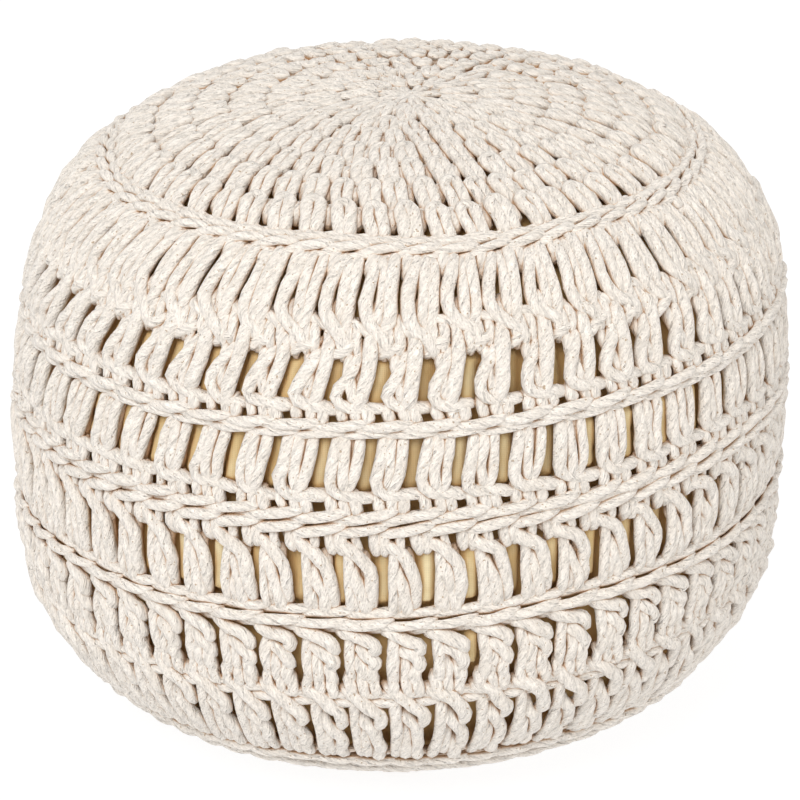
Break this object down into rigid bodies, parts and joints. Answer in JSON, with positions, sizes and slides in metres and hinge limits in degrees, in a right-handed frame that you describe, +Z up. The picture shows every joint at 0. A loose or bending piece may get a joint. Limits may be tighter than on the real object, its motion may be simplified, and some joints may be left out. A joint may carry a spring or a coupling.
{
  "type": "crocheted pouf",
  "caption": "Round, soft floor pouf in an openwork crocheted cord cover with raised rows, over a filled inner casing that shows through the gaps.",
  "frame": {"origin": "on the floor, under the middle of the pouf", "axes": "+Z up; the pictured side faces -Y, with +X to its right"},
  "size_m": [0.5015, 0.5, 0.4],
  "materials": {
    "cotton_cord": "soft undyed cotton cord, matt, with faint seed flecks",
    "casing_cloth": "plain woven straw-coloured cotton, matt"
  },
  "bodies": {
    "root": {"crochet_cover": "cotton_cord", "filled_casing": "casing_cloth"}
  },
  "joints": []
}
